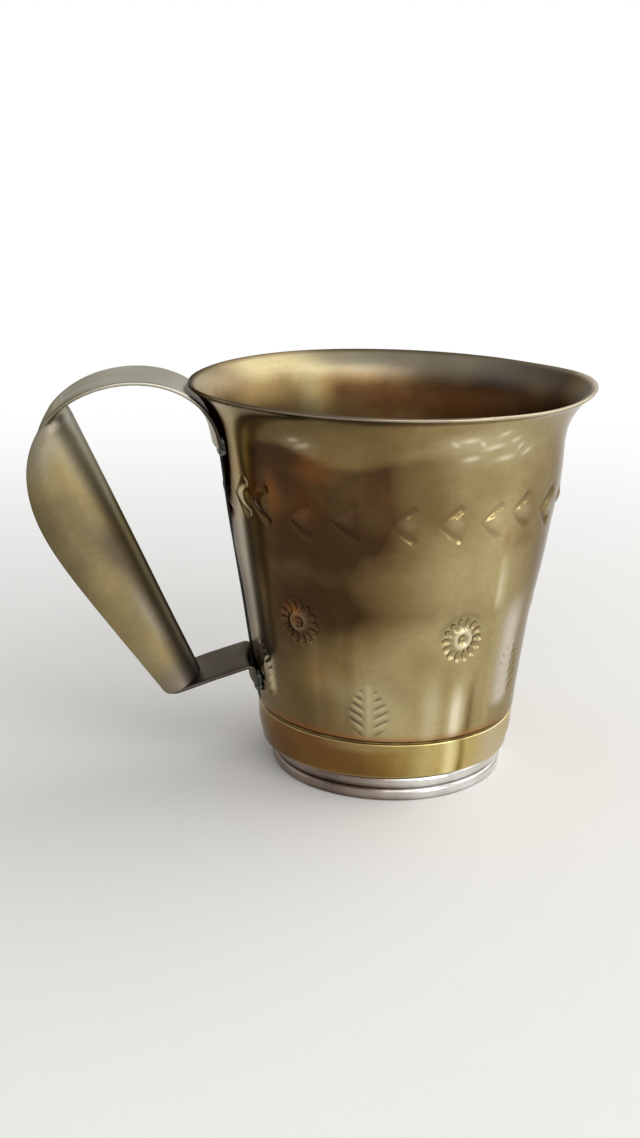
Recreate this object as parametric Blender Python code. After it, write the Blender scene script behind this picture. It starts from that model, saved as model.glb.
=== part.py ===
# Sheet-brass mug: a tapered wall with a flared lip, a base band, a beaded foot ring
# and a handle folded from one sheet, all joined with runs of soft solder.
# Units are metres, +Z is up, and the handle lies in the XZ plane on the -X side.

import math

import bmesh
import bpy
import numpy as np
from mathutils import Vector

MM = 0.001

# Foot, floor and base band, from the table upwards
FOOT_HEIGHT = 6.3 * MM
FOOT_SET_IN = 1.2 * MM
FOOT_RING_WIDTH = 3.2 * MM
BEAD_DEPTH = 1.3 * MM
BEAD_COUNT = 2
FLOOR_SHEET = 0.8 * MM
BAND_HEIGHT = 9.7 * MM
BAND_TOP_RADIUS = 32.9 * MM
BAND_TAPER = 1.2 * MM
BAND_SHEET = 0.8 * MM

# Wall: a skirt inside the band, a neck, a straight taper and a flared lip
MUG_HEIGHT = 98.5 * MM
RIM_RADIUS = 50.0 * MM
WALL_SHEET = 0.8 * MM
SKIRT_LIFT = 2.6 * MM
NECK_HEIGHT = 2.8 * MM
WAIST_STEP = 0.5 * MM
SHOULDER_DROP = 26.5 * MM
SHOULDER_RADIUS = 41.45 * MM
SHOULDER_PULL = 10.0 * MM
LIP_RISE = 5.0 * MM
LIP_SPREAD = 6.8 * MM
LIP_EDGE_DROP = 0.2 * MM

# Handle sheet
STRAP_SHEET = 1.0 * MM
UPPER_TAB_WIDTH = 24.0 * MM
STRAP_WIDTH = 22.0 * MM
STRUT_WIDTH = 20.5 * MM

# Upper half of the handle, placed from the rim
UPPER_TAB_DROP = 14.0 * MM
UPPER_TAB_HEIGHT = 4.0 * MM
ARCH_OUT = 12.9 * MM
ARCH_RISE = 1.9 * MM
GRIP_BULGE = 25.7 * MM
GRIP_BULGE_DROP = 22.9 * MM
SPINE_TOP_OUT = 16.3 * MM
SPINE_TOP_DROP = 5.7 * MM

# Lower half of the handle, placed from the neck of the wall
LOWER_TAB_RISE = 4.6 * MM
LOWER_TAB_LENGTH = 5.8 * MM
LOWER_TAB_BEND = 1.6 * MM
HEEL_OUT = 20.6 * MM
HEEL_DROP = 7.5 * MM
HEEL_BEND = 2.2 * MM
GRIP_RUN_OUT = 18.2 * MM
GRIP_RUN_RISE = 25.5 * MM
SPINE_FOOT_BACK = 9.8 * MM
SPINE_EASE = 2.0 * MM

# Fullness of the handle's curves, as shares of their rise or spread
ARCH_FULL_UP = 0.6
ARCH_FULL_IN = 0.53
CROWN_FULL_OUT = 0.45
CROWN_FULL_UP = 0.57
BELLY_FULL_DOWN = 0.3
BELLY_FULL_UP = 0.39
FLATTEST_ARC = math.radians(1)
DEEPEST_ARC = math.radians(88)

# Solder and the clearance that every joint keeps
JOINT_GAP = 0.3 * MM
FILLET_WIDTH = 1.5 * MM
FILLET_HEIGHT = 0.9 * MM
FILLET_EDGE = 0.25 * MM
FOOT_SEAM = 1.6 * MM
BAND_SEAM_GAP = 0.36 * MM
BAND_SEAM_SET_IN = 0.2 * MM

# Smoothness of the turned and folded forms
TURN_STEPS = 64
LIP_STEPS = 11
NECK_STEPS = 5
BEAD_STEPS = 6
SECTION_STEPS = 12
SHARP_ANGLE = math.radians(40)

# Places that follow from the sizes above
FOOT_RADIUS = BAND_TOP_RADIUS - BAND_TAPER - FOOT_SET_IN
BAND_TOP_HEIGHT = FOOT_HEIGHT + BAND_HEIGHT
FLOOR_UNDERSIDE = FOOT_HEIGHT + JOINT_GAP
FLOOR_TOP = FLOOR_UNDERSIDE + FLOOR_SHEET
WAIST_HEIGHT = BAND_TOP_HEIGHT + NECK_HEIGHT
WAIST_RADIUS = BAND_TOP_RADIUS + WAIST_STEP
SHOULDER_HEIGHT = MUG_HEIGHT - SHOULDER_DROP
UPPER_TAB_FOOT = MUG_HEIGHT - UPPER_TAB_DROP
UPPER_TAB_TOP = UPPER_TAB_FOOT + UPPER_TAB_HEIGHT
ARCH_TOP = np.array([RIM_RADIUS + ARCH_OUT, MUG_HEIGHT + ARCH_RISE])
GRIP_WIDEST = ARCH_TOP + (GRIP_BULGE, -GRIP_BULGE_DROP)
SPINE_TOP = ARCH_TOP + (SPINE_TOP_OUT, -SPINE_TOP_DROP)
LOWER_TAB_FOOT = WAIST_HEIGHT + LOWER_TAB_RISE
LOWER_TAB_TOP = LOWER_TAB_FOOT + LOWER_TAB_LENGTH

# The origin is under the middle of the whole outline, so the mug's axis stands off it
AXIS_OFFSET = (GRIP_WIDEST[0] - RIM_RADIUS) / 2

BRASS = (0.46, 0.34, 0.13, 1.0)
BRASS_BAND = (0.50, 0.37, 0.13, 1.0)
BRASS_GRIP = (0.36, 0.30, 0.15, 1.0)
FOOT_METAL = (0.42, 0.34, 0.28, 1.0)
SOLDER = (0.32, 0.33, 0.32, 1.0)


def clear_scene():
    for thing in list(bpy.data.objects):
        bpy.data.objects.remove(thing, do_unlink=True)


def metal(name, colour, roughness):
    material = bpy.data.materials.new(name)
    material.use_nodes = True
    shader = material.node_tree.nodes["Principled BSDF"]
    shader.inputs["Base Color"].default_value = colour
    shader.inputs["Metallic"].default_value = 1.0
    shader.inputs["Roughness"].default_value = roughness
    return material


def line(start, end, count):
    steps = np.linspace(0.0, 1.0, count)[:, None]
    return np.asarray(start) * (1 - steps) + np.asarray(end) * steps


def bezier(start, first, second, end, count):
    steps = np.linspace(0.0, 1.0, count)[:, None]
    back = 1 - steps
    return (
        back**3 * np.asarray(start)
        + 3 * back**2 * steps * np.asarray(first)
        + 3 * back * steps**2 * np.asarray(second)
        + steps**3 * np.asarray(end)
    )


def bend(before, corner, after, radius, count):
    # Arc of the given radius that rounds the corner between two straight runs
    corner = np.asarray(corner)
    inward = np.asarray(before) - corner
    inward = inward / np.linalg.norm(inward)
    onward = np.asarray(after) - corner
    onward = onward / np.linalg.norm(onward)
    half = math.acos(float(inward @ onward)) / 2
    middle = (inward + onward) / np.linalg.norm(inward + onward)
    centre = corner + middle * radius / math.sin(half)
    start = corner + inward * radius / math.tan(half) - centre
    end = corner + onward * radius / math.tan(half) - centre
    turn = math.copysign(math.pi - 2 * half, start[0] * end[1] - start[1] * end[0])
    angles = np.linspace(0.0, turn, count)
    cosine = np.cos(angles)
    sine = np.sin(angles)
    across = start[0] * cosine - start[1] * sine
    upward = start[0] * sine + start[1] * cosine
    return centre + np.stack([across, upward], axis=1)


def join_runs(*runs):
    # Runs share their end points, so each later run drops its first
    return np.concatenate([runs[0]] + [run[1:] for run in runs[1:]])


def set_back(points, distance):
    # Copy of an open outline, moved square to itself towards its left side
    along = np.gradient(points, axis=0)
    along = along / np.linalg.norm(along, axis=1)[:, None]
    return points + distance * np.stack([-along[:, 1], along[:, 0]], axis=1)


def band_radius(height):
    return BAND_TOP_RADIUS - BAND_TAPER * (BAND_TOP_HEIGHT - height) / BAND_HEIGHT


def skirt_radius(height):
    return band_radius(height) - BAND_SHEET - JOINT_GAP


def wall_outline():
    # Outer face of the wall from the lip down to the end of the skirt
    shoulder = (SHOULDER_RADIUS, SHOULDER_HEIGHT)
    waist = (WAIST_RADIUS, WAIST_HEIGHT)
    taper = (SHOULDER_RADIUS - WAIST_RADIUS) / (SHOULDER_HEIGHT - WAIST_HEIGHT)
    lip = bezier(
        (RIM_RADIUS, MUG_HEIGHT),
        (RIM_RADIUS - LIP_SPREAD, MUG_HEIGHT - LIP_RISE),
        (SHOULDER_RADIUS + taper * SHOULDER_PULL, SHOULDER_HEIGHT + SHOULDER_PULL),
        shoulder,
        LIP_STEPS,
    )
    skirt_top = BAND_TOP_HEIGHT + JOINT_GAP
    skirt_foot = FLOOR_TOP + SKIRT_LIFT
    neck_drop = (WAIST_HEIGHT - skirt_top) / 2
    neck = bezier(
        waist,
        (WAIST_RADIUS - taper * neck_drop, WAIST_HEIGHT - neck_drop),
        (skirt_radius(skirt_top), skirt_top + neck_drop),
        (skirt_radius(skirt_top), skirt_top),
        NECK_STEPS,
    )
    skirt = line((skirt_radius(skirt_top), skirt_top), (skirt_radius(skirt_foot), skirt_foot), 2)
    return join_runs(lip, line(shoulder, waist, 4), neck, skirt)


WALL_OUTLINE = wall_outline()


def wall_radius(height):
    return np.interp(height, WALL_OUTLINE[::-1, 1], WALL_OUTLINE[::-1, 0])


def new_object(name, mesh, material, parent):
    mesh.materials.append(material)
    mesh.shade_smooth()
    mesh.set_sharp_from_angle(angle=SHARP_ANGLE)
    thing = bpy.data.objects.new(name, mesh)
    thing.parent = parent
    bpy.context.scene.collection.objects.link(thing)
    return thing


def finish_mesh(work, name):
    bmesh.ops.recalc_face_normals(work, faces=work.faces)
    mesh = bpy.data.meshes.new(name)
    work.to_mesh(mesh)
    work.free()
    return mesh


def turned(name, outline, material, parent):
    # Closed outline of (radius, height) points, spun once around the mug's axis
    work = bmesh.new()
    corners = [work.verts.new((radius, 0.0, height)) for radius, height in outline]
    edges = [work.edges.new((corners[k - 1], corners[k])) for k in range(len(corners))]
    bmesh.ops.spin(
        work,
        geom=corners + edges,
        axis=Vector((0, 0, 1)),
        cent=Vector((0, 0, 0)),
        steps=TURN_STEPS,
        angle=2 * math.pi,
        use_merge=True,
    )
    bmesh.ops.remove_doubles(work, verts=work.verts, dist=0.001 * MM)
    return new_object(name, finish_mesh(work, name), material, parent)


def loft(name, rings, closed, material, parent):
    # Rings of equal count joined by quads; a closed section also gets its two end caps
    count = len(rings[0])
    work = bmesh.new()
    rows = [[work.verts.new(point) for point in ring] for ring in rings]
    last = count if closed else count - 1
    for lower, upper in zip(rows, rows[1:]):
        for k in range(last):
            after = (k + 1) % count
            work.faces.new((lower[k], lower[after], upper[after], upper[k]))
    if closed:
        work.faces.new(rows[0])
        work.faces.new(rows[-1])
    return new_object(name, finish_mesh(work, name), material, parent)


def make_wall(parent):
    inner = set_back(WALL_OUTLINE, -WALL_SHEET)
    inner[0, 1] = MUG_HEIGHT - LIP_EDGE_DROP
    turned("body_wall", np.concatenate([WALL_OUTLINE, inner[::-1]]), metal("wall_brass", BRASS, 0.3), parent)


def make_band(parent):
    top = (BAND_TOP_RADIUS, BAND_TOP_HEIGHT)
    foot = (band_radius(FOOT_HEIGHT), FOOT_HEIGHT + JOINT_GAP)
    inner_foot = (foot[0] - BAND_SHEET, foot[1])
    inner_top = (top[0] - BAND_SHEET, top[1])
    turned("base_band", [top, foot, inner_foot, inner_top], metal("band_brass", BRASS_BAND, 0.3), parent)


def make_floor(parent):
    radius = skirt_radius(FOOT_HEIGHT)
    work = bmesh.new()
    bmesh.ops.create_cone(
        work, cap_ends=True, segments=TURN_STEPS, radius1=radius, radius2=radius, depth=FLOOR_SHEET
    )
    bmesh.ops.translate(work, verts=work.verts, vec=(0, 0, FLOOR_UNDERSIDE + FLOOR_SHEET / 2))
    new_object("bottom_disc", finish_mesh(work, "bottom_disc"), metal("floor_brass", BRASS, 0.35), parent)


def make_foot(parent):
    # Each bead is half an ellipse standing out from the ring's plain core
    bead_height = FOOT_HEIGHT / BEAD_COUNT
    angles = np.linspace(0.0, math.pi, BEAD_STEPS + 1)
    core = FOOT_RADIUS - BEAD_DEPTH
    outline = []
    for bead in range(BEAD_COUNT):
        top = FOOT_HEIGHT - bead * bead_height
        for angle in angles[bead > 0 :]:
            height = top - bead_height * (1 - math.cos(angle)) / 2
            outline.append((core + BEAD_DEPTH * math.sin(angle), height))
    inner = FOOT_RADIUS - FOOT_RING_WIDTH
    outline += [(inner, 0.0), (inner, FOOT_HEIGHT)]
    turned("foot_ring", outline, metal("foot_metal", FOOT_METAL, 0.35), parent)


def make_seams(parent):
    groove = BAND_TOP_HEIGHT + JOINT_GAP
    inside = wall_radius(groove) + BAND_SEAM_GAP
    outside = BAND_TOP_RADIUS - BAND_SEAM_SET_IN
    crest = groove + (WAIST_HEIGHT - groove) / 2
    crest_radius = max(outside, wall_radius(crest) + BAND_SEAM_GAP)
    solder = metal("seam_solder", SOLDER, 0.45)
    turned("band_seam_solder", [(crest_radius, crest), (outside, groove), (inside, groove)], solder, parent)
    ceiling = FLOOR_UNDERSIDE - JOINT_GAP
    ring = FOOT_RADIUS - FOOT_RING_WIDTH - JOINT_GAP
    section = [(ring, ceiling), (ring, ceiling - FOOT_SEAM), (ring - FOOT_SEAM, ceiling)]
    turned("foot_seam_solder", section, solder, parent)


def tab_reach(height):
    # Middle of the strap's thickness where it lies against the wall
    return wall_radius(height) + JOINT_GAP + STRAP_SHEET / 2


def strut_heel():
    return np.array([tab_reach(LOWER_TAB_TOP) + HEEL_OUT, LOWER_TAB_TOP - HEEL_DROP])


def strap_edges():
    # Path of the strap's two free edges, seen from the side, with its width and its wrap round the wall
    heights = np.linspace(UPPER_TAB_FOOT, UPPER_TAB_TOP, 4)
    tab = np.stack([tab_reach(heights), heights], axis=1)
    lean = tab[-1] - tab[-2]
    lean = lean / lean[1]
    rise = ARCH_TOP - tab[-1]
    tab_end = tab[-1] + lean * rise[1] * ARCH_FULL_UP
    arch = bezier(tab[-1], tab_end, ARCH_TOP - (rise[0] * ARCH_FULL_IN, 0), ARCH_TOP, 10)
    crown_out = ARCH_TOP + (GRIP_BULGE * CROWN_FULL_OUT, 0)
    crown = bezier(ARCH_TOP, crown_out, GRIP_WIDEST + (0, GRIP_BULGE_DROP * CROWN_FULL_UP), GRIP_WIDEST, 15)
    lower_top = np.array([tab_reach(LOWER_TAB_TOP), LOWER_TAB_TOP])
    lower_foot = np.array([tab_reach(LOWER_TAB_FOOT), LOWER_TAB_FOOT])
    heel = strut_heel()
    run_top = heel + (GRIP_RUN_OUT, GRIP_RUN_RISE)
    slope = (run_top - heel) / np.linalg.norm(run_top - heel)
    drop = GRIP_WIDEST[1] - run_top[1]
    belly_out = GRIP_WIDEST - (0, drop * BELLY_FULL_DOWN)
    belly = bezier(GRIP_WIDEST, belly_out, run_top + slope * drop * BELLY_FULL_UP, run_top, 11)
    heel_bend = bend(run_top, heel, lower_top, HEEL_BEND, 5)
    tab_bend = bend(heel, lower_top, lower_foot, LOWER_TAB_BEND, 6)
    strut_way = (lower_top - heel) / np.linalg.norm(lower_top - heel)
    flat_start = heel + strut_way * (SPINE_FOOT_BACK + SPINE_EASE)
    runs = [
        (tab, UPPER_TAB_WIDTH, UPPER_TAB_WIDTH, 1.0, 1.0),
        (arch, UPPER_TAB_WIDTH, STRAP_WIDTH, 1.0, 0.0),
        (crown, STRAP_WIDTH, STRAP_WIDTH, 0.0, 0.0),
        (belly, STRAP_WIDTH, STRAP_WIDTH, 0.0, 0.0),
        (line(run_top, heel_bend[0], 8), STRAP_WIDTH, STRUT_WIDTH, 0.0, 0.0),
        (heel_bend, STRUT_WIDTH, STRUT_WIDTH, 0.0, 0.0),
        (line(heel_bend[-1], flat_start, 2), STRUT_WIDTH, STRUT_WIDTH, 0.0, 0.0),
        (line(flat_start, tab_bend[0], 4), STRUT_WIDTH, STRUT_WIDTH, 0.0, 1.0),
        (tab_bend, STRUT_WIDTH, STRUT_WIDTH, 1.0, 1.0),
        (line(tab_bend[-1], lower_foot, 4), STRUT_WIDTH, STRUT_WIDTH, 1.0, 1.0),
    ]
    path = join_runs(*[run[0] for run in runs])
    widths = join_runs(*[np.linspace(run[1], run[2], len(run[0])) for run in runs])
    wraps = join_runs(*[np.linspace(run[3], run[4], len(run[0])) for run in runs])
    return path, widths, wraps


def spine_depth(path):
    # How far the free edges stand outside the straight spine; nothing where they lie inside it
    strut_way = np.array([-HEEL_OUT, HEEL_DROP]) / math.hypot(HEEL_OUT, HEEL_DROP)
    down = strut_heel() + strut_way * SPINE_FOOT_BACK - SPINE_TOP
    down = down / np.linalg.norm(down)
    outward = np.array([-down[1], down[0]])
    stand = (path - SPINE_TOP) @ outward
    eased = (np.clip(stand, -SPINE_EASE, SPINE_EASE) + SPINE_EASE) ** 2 / (4 * SPINE_EASE)
    return np.where(stand > SPINE_EASE, stand, eased), outward


def make_strap(parent):
    # Each section is an arc across the strap: flat on the arch, a deep trough down the grip
    path, widths, wraps = strap_edges()
    depths, outward = spine_depth(path)
    across = np.linspace(-1.0, 1.0, SECTION_STEPS + 1)
    rings = []
    for point, width, wrap, depth in zip(path, widths, wraps, depths):
        half = width / 2
        opening = max(min(2 * math.atan2(depth, half), DEEPEST_ARC), FLATTEST_ARC)
        angles = across * opening
        lift = (1 - np.cos(angles)) / (1 - math.cos(opening))
        side = half * np.sin(angles) / math.sin(opening)
        round_wall = side / point[0]
        reach = point[0] + outward[0] * depth * (lift - 1) - wrap * point[0] * (1 - np.cos(round_wall))
        height = point[1] + outward[1] * depth * (lift - 1)
        side = side * (1 - wrap) + wrap * point[0] * np.sin(round_wall)
        rings.append(np.stack([-reach, side, height], axis=1))
    strap = loft("handle_strap", rings, False, metal("handle_brass", BRASS_GRIP, 0.4), parent)
    sheet = strap.modifiers.new("sheet", "SOLIDIFY")
    sheet.thickness = STRAP_SHEET
    sheet.offset = 0.0
    sheet.use_even_offset = True
    sheet.use_quality_normals = True


def make_fillet(name, width, top, foot, parent):
    # Run of solder down one side of a tab, under its end and up the other side
    half = width / 2 + JOINT_GAP
    end = foot - JOINT_GAP
    quarter = np.linspace(0.0, math.pi / 2, 5)
    left = [(-half, top, -1.0, 0.0), (-half, (top + end) / 2, -1.0, 0.0)]
    left += [(-half, end, -math.cos(angle), -math.sin(angle)) for angle in quarter]
    under = [(place, end, 0.0, -1.0) for place in np.linspace(-half, half, 7)[1:-1]]
    right = [(-place, height, -sideways, down) for place, height, sideways, down in reversed(left)]
    rings = []
    for place, height, sideways, down in left + under + right:
        ring = []
        corners = ((0.0, 0.0), (FILLET_WIDTH, 0.0), (FILLET_WIDTH, FILLET_EDGE), (0.0, FILLET_HEIGHT))
        for offset, stand in corners:
            level = height + down * offset
            base = wall_radius(level) + JOINT_GAP
            angle = (place + sideways * offset) / base
            radius = base + stand
            ring.append((-radius * math.cos(angle), radius * math.sin(angle), level))
        rings.append(ring)
    loft(name, rings, True, metal(name + "_tin", SOLDER, 0.45), parent)


def main():
    clear_scene()
    mug = bpy.data.objects.new("mug", None)
    mug.location = (AXIS_OFFSET, 0.0, 0.0)
    bpy.context.scene.collection.objects.link(mug)
    make_wall(mug)
    make_band(mug)
    make_floor(mug)
    make_foot(mug)
    make_seams(mug)
    make_strap(mug)
    make_fillet("upper_handle_solder", UPPER_TAB_WIDTH, UPPER_TAB_TOP, UPPER_TAB_FOOT, mug)
    lower_top = LOWER_TAB_TOP - LOWER_TAB_BEND
    make_fillet("lower_handle_solder", STRUT_WIDTH, lower_top, LOWER_TAB_FOOT, mug)


main()
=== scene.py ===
import math

import bpy
import numpy as np
from mathutils import Matrix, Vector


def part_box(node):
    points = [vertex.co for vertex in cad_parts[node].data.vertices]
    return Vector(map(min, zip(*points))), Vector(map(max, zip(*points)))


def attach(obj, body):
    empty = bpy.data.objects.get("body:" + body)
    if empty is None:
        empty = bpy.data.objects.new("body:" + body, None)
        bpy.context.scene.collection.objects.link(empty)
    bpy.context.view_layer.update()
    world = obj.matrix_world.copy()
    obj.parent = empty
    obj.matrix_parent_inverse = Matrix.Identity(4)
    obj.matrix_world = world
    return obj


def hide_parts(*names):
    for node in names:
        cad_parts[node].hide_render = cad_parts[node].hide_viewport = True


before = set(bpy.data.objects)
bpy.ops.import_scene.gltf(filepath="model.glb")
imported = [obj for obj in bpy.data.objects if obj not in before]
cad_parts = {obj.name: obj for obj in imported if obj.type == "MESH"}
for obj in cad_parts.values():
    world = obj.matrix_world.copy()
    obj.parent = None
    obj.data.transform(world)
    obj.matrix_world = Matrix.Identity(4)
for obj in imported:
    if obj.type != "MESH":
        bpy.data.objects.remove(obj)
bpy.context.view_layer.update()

mm = 0.001


def nodeBox(node):
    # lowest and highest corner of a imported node, in mm
    low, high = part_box(node)
    return np.array([tuple(low), tuple(high)]) / mm


def boxRadius(box):
    # a turned piece is as wide along y as its diameter
    return (box[1, 1] - box[0, 1]) / 2


turnedNodes = ("body_wall", "base_band", "foot_ring", "bottom_disc")
wallBox, bandBox, footBox, discBox = [nodeBox(node) for node in turnedNodes]
axisX = wallBox[:, 0].mean()  # the mug's axis stands this far from the origin


def fadeIn(low, high, value):
    # nothing up to low, one from high on, and an even S between them
    share = np.clip((value - low) / (high - low), 0, 1)
    return share * share * (3 - 2 * share)


def fadeOut(low, high, value):
    return 1 - fadeIn(low, high, value)


def hump(distance, width):
    # one at the middle, falling as a squared cosine to nothing at the width
    return np.cos(np.clip(np.abs(distance) / width, 0, 1) * math.pi / 2) ** 2


def bezier(points, count):
    # cubic curve with four control points
    t = np.linspace(0, 1, count)[:, None]
    a, b, c, d = [np.asarray(p, float) for p in points]
    return (1 - t) ** 3 * a + 3 * (1 - t) ** 2 * t * b + 3 * (1 - t) * t ** 2 * c + t ** 3 * d


def line(start, end, count):
    t = np.linspace(0, 1, count)[:, None]
    return np.asarray(start, float) * (1 - t) + np.asarray(end, float) * t


def chain(*runs):
    # runs that share their end points
    return np.concatenate([runs[0]] + [run[1:] for run in runs[1:]])


def lengths(path):
    return np.concatenate([[0], np.cumsum(np.linalg.norm(np.diff(path, axis=0), axis=1))])


def unit(vectors):
    # the same directions with length one
    return vectors / np.linalg.norm(vectors, axis=-1, keepdims=True)


def resample(path, count):
    # the same path with evenly spaced points
    along = lengths(path)
    way = np.linspace(0, along[-1], count)
    return np.stack([np.interp(way, along, path[:, k]) for k in range(path.shape[1])], axis=1)


def sideways(path):
    # unit normals on the left of an open path in the (radius, height) plane
    ahead = unit(np.gradient(path, axis=0))
    return np.stack([-ahead[:, 1], ahead[:, 0]], axis=1)


def wrapAngle(angle):
    return (angle + math.pi) % (2 * math.pi) - math.pi


def degreesFrom(angle, degrees):
    # how far an angle lies from a direction in degrees, between -180 and 180
    return np.degrees(wrapAngle(angle - np.radians(degrees)))


def fullTurn(columns):
    return np.linspace(0, 2 * math.pi, columns, endpoint=False)[None, :]


def ripple(seed, waves, *coords):
    # smooth waviness: a sum of plane waves with seeded directions and phases, about -1 to 1
    chance = np.random.default_rng(seed)
    total = 0
    for step in range(waves):
        way = unit(chance.normal(size=len(coords)))
        pace, phase = chance.uniform(0.6, 1.6), chance.uniform(0, 2 * math.pi)
        total = total + np.sin(sum(w * c for w, c in zip(way, coords)) * pace + phase)
    return total / math.sqrt(waves)


def roundRipple(seed, waves, angle, wide, *levels, radius=40):
    # waviness on a cylinder, without a seam: wide is the length of a wave along the wall
    return ripple(seed, waves, np.cos(angle) * radius / wide, np.sin(angle) * radius / wide, *levels)


def roundAxis(radius, angle, height):
    # cylinder coordinates about the mug's axis, in mm, to metres
    radius, angle, height = np.broadcast_arrays(radius, angle, height)
    return np.stack([axisX + radius * np.cos(angle), radius * np.sin(angle), height], axis=-1) * mm


def gridFaces(rows, columns, wrapRows=True, caps=False):
    # quads between neighbours of a grid with closed rows; caps close the first and the last row
    i = np.arange(rows if wrapRows else rows - 1)[:, None]
    j = np.arange(columns)[None, :]
    a, b = (i + 1) % rows, (j + 1) % columns
    corners = np.broadcast_arrays(i * columns + j, i * columns + b, a * columns + b, a * columns + j)
    faces = np.stack(corners, axis=-1).reshape(-1, 4).tolist()
    if caps:
        faces.append(list(range(columns))[::-1])
        faces.append([(rows - 1) * columns + k for k in range(columns)])
    return faces


def turned(faces):
    return [face[::-1] for face in faces]


def ringFaces(points):
    return gridFaces(*points.shape[:2])


def tubeFaces(points):
    return turned(gridFaces(*points.shape[:2], wrapRows=False, caps=True))


def newMesh(name, points, faces):
    mesh = bpy.data.meshes.new(name)
    mesh.from_pydata(points.reshape(-1, 3).tolist(), [], faces)
    mesh.update()
    mesh.shade_smooth()
    return mesh


def newObject(name, data):
    made = bpy.data.objects.new(name, data)
    bpy.context.scene.collection.objects.link(made)
    return made


def putPiece(name, points, faces, node, slot, material, sharp=None, **fields):
    # fields are shares per point that the brass reads: tarnish and painted shade, grime and painted shade,
    # wear and painted highlight, satin, copper bloom and painted glints, and tinning and painted sheen
    mesh = newMesh(name, points, faces)
    if sharp:
        mesh.set_sharp_from_angle(angle=math.radians(sharp))
    for field, values in fields.items():
        layer = mesh.attributes.new(field, "FLOAT", "POINT")
        values = np.broadcast_to(np.asarray(values, np.float32), points.shape[:-1])
        layer.data.foreach_set("value", values.reshape(-1))
    mesh.materials.append(material)
    piece = newObject(name, mesh)
    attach(piece, "root")
    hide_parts(node)
    print(name, len(mesh.vertices), "points", len(mesh.polygons), "faces")


# the camera stands where the photo was taken: place in mm, angles in degrees, lens in mm
view = {"place": (-34.4, -381.9, 165.0), "heading": -5.445, "pitch": 16.59, "roll": 0.617, "lens": 49.93,
        "sensor": 36.0, "nearest": 10.0}

lensData = bpy.data.cameras.new("camera")
lensData.sensor_fit = "VERTICAL"
lensData.sensor_height = view["sensor"]
lensData.lens = view["lens"]
lensData.clip_start = view["nearest"] * mm
camera = newObject("camera", lensData)
pose = Matrix.Translation([v * mm for v in view["place"]])
for degrees, axis in ((view["heading"], "Z"), (90 - view["pitch"], "X"), (view["roll"], "Z")):
    pose = pose @ Matrix.Rotation(math.radians(degrees), 4, axis)
camera.matrix_world = pose
bpy.context.scene.camera = camera
bpy.context.scene.view_settings.view_transform = "Standard"


def hexToLinear(code):
    # sRGB hex to linear light
    parts = np.array([int(code[k:k + 2], 16) for k in (1, 3, 5)]) / 255
    light = np.where(parts <= 0.04045, parts / 12.92, ((parts + 0.055) / 1.055) ** 2.4)
    return (*light.tolist(), 1.0)


def addNode(tree, kind, settings=None, links=None):
    # settings: attributes, or input sockets by name or number; links: input socket to output socket
    made = tree.nodes.new("ShaderNode" + kind)
    for key, value in (settings or {}).items():
        if isinstance(key, str) and hasattr(made, key):
            setattr(made, key, value)
        else:
            made.inputs[key].default_value = value
    for key, source in (links or {}).items():
        tree.links.new(source, made.inputs[key])
    return made


def addNoise(tree, place, size, detail, roughness=0.5, distortion=0.0):
    # cloudy noise, with its size in mm
    settings = {"Scale": 1 / (size * mm), "Detail": detail, "Roughness": roughness, "Distortion": distortion}
    return addNode(tree, "TexNoise", settings, {"Vector": place}).outputs["Fac"]


def addRange(tree, value, taken, given, kind="LINEAR"):
    # carries a value from one range over to another
    settings = dict(zip(("From Min", "From Max", "To Min", "To Max"), taken + given))
    settings["interpolation_type"] = kind
    return addNode(tree, "MapRange", settings, {"Value": value}).outputs["Result"]


def addMath(tree, operation, *terms, clamp=False):
    # arithmetic on output sockets and plain numbers
    plain = {k: term for k, term in enumerate(terms) if isinstance(term, float)}
    linked = {k: term for k, term in enumerate(terms) if k not in plain}
    settings = {"operation": operation, "use_clamp": clamp, **plain}
    return addNode(tree, "Math", settings, linked).outputs["Value"]


def addMix(tree, share, settings, links=None):
    # colour between sockets 6 and 7
    settings = {"data_type": "RGBA", **settings}
    return addNode(tree, "Mix", settings, {0: share, **(links or {})}).outputs[2]


def addMetal(tree, grain, strength, depth, links):
    # bare metal with a fine relief, whose depth is in mm
    settings = {"Strength": strength, "Distance": depth * mm}
    relief = addNode(tree, "Bump", settings, {"Height": grain}).outputs["Normal"]
    shader = addNode(tree, "BsdfPrincipled", {"Metallic": 1.0}, {**links, "Normal": relief})
    addNode(tree, "OutputMaterial", {}, {"Surface": shader.outputs["BSDF"]})


def newMaterial(name):
    # an empty material, its nodes, and the place of each point on the object
    material = bpy.data.materials.new(name)
    material.use_nodes = True
    tree = material.node_tree
    tree.nodes.clear()
    return material, tree, addNode(tree, "TexCoord").outputs["Object"]


# what age leaves on every sheet: copper bloom, old tinning and the crust of dirt, the copper and the tin also
# used for painted glints and painted sheen; how far clouds shift the tarnish, wiping marks round the mug and
# specks in mm, and what satin and dirt add to the roughness
age = {"copper": "#A4622A", "tin": "#C4BDB6", "crust": "#4A4842", "drift": 0.13, "marks": (12, 12, 0.4),
       "specks": 1.4, "satin": 0.16, "grit": 0.15}


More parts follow.
